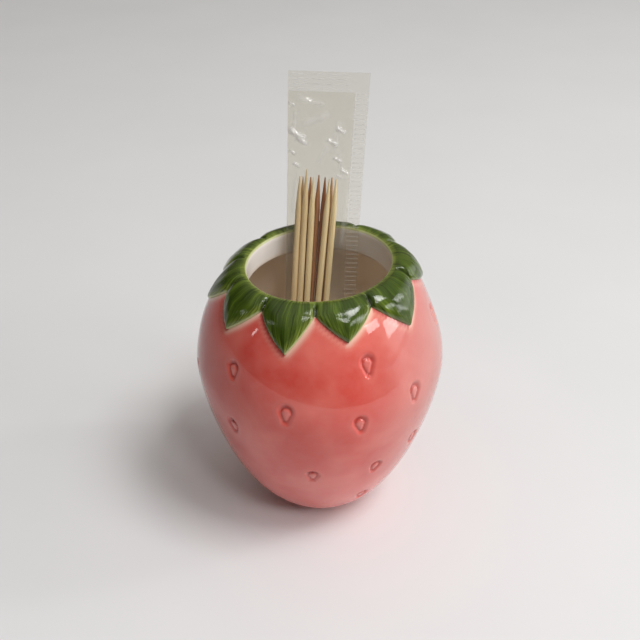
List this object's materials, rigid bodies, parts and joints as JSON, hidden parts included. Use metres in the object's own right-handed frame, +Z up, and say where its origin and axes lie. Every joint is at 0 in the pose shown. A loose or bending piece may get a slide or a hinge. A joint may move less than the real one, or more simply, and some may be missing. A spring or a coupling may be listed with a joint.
{
  "type": "toothpick holder",
  "caption": "Glazed ceramic strawberry cup with a green leaf collar round its mouth, holding a clear sachet of wooden toothpicks.",
  "frame": {"origin": "centre of the foot ring on the table, at the bottom centre of the bounding box", "axes": "+Z up through the mouth, -Y is the side seen in front, +X to the right"},
  "size_m": [0.054, 0.054, 0.0943],
  "materials": {
    "pink_glaze": "gloss",
    "green_glaze": "gloss",
    "clear_film": "gloss",
    "bamboo": "matte"
  },
  "bodies": {
    "holder": {"strawberry_body": "pink_glaze", "leaf_collar": "green_glaze"},
    "sachet": {"sachet_film": "clear_film"},
    "pick_01": {"toothpick_01": "bamboo"},
    "pick_02": {"toothpick_02": "bamboo"},
    "pick_03": {"toothpick_03": "bamboo"},
    "pick_04": {"toothpick_04": "bamboo"},
    "pick_05": {"toothpick_05": "bamboo"},
    "pick_06": {"toothpick_06": "bamboo"},
    "pick_07": {"toothpick_07": "bamboo"},
    "pick_08": {"toothpick_08": "bamboo"},
    "pick_09": {"toothpick_09": "bamboo"},
    "pick_10": {"toothpick_10": "bamboo"}
  },
  "joints": [
    {"name": "sachet_lift", "type": "slide", "parent": "holder", "child": "sachet", "axis": [0.0321, 0.2543, 0.9666], "range_m": [0, 0.06]},
    {"name": "pick_01_slide", "type": "slide", "parent": "sachet", "child": "pick_01", "axis": [0.0583, 0.2472, 0.9672], "range_m": [0, 0.012]},
    {"name": "pick_02_slide", "type": "slide", "parent": "sachet", "child": "pick_02", "axis": [0.0578, 0.2542, 0.9654], "range_m": [0, 0.012]},
    {"name": "pick_03_slide", "type": "slide", "parent": "sachet", "child": "pick_03", "axis": [0.057, 0.2542, 0.9655], "range_m": [0, 0.012]},
    {"name": "pick_04_slide", "type": "slide", "parent": "sachet", "child": "pick_04", "axis": [0.0872, 0.2539, 0.9633], "range_m": [0, 0.012]},
    {"name": "pick_05_slide", "type": "slide", "parent": "sachet", "child": "pick_05", "axis": [0.0784, 0.254, 0.964], "range_m": [0, 0.012]},
    {"name": "pick_06_slide", "type": "slide", "parent": "sachet", "child": "pick_06", "axis": [0.0542, 0.2542, 0.9656], "range_m": [0, 0.012]},
    {"name": "pick_07_slide", "type": "slide", "parent": "sachet", "child": "pick_07", "axis": [0.0576, 0.2542, 0.9654], "range_m": [0, 0.012]},
    {"name": "pick_08_slide", "type": "slide", "parent": "sachet", "child": "pick_08", "axis": [0.063, 0.2541, 0.9651], "range_m": [0, 0.012]},
    {"name": "pick_09_slide", "type": "slide", "parent": "sachet", "child": "pick_09", "axis": [0.0626, 0.2541, 0.9651], "range_m": [0, 0.012]},
    {"name": "pick_10_slide", "type": "slide", "parent": "sachet", "child": "pick_10", "axis": [0.0638, 0.2541, 0.9651], "range_m": [0, 0.012]}
  ]
}
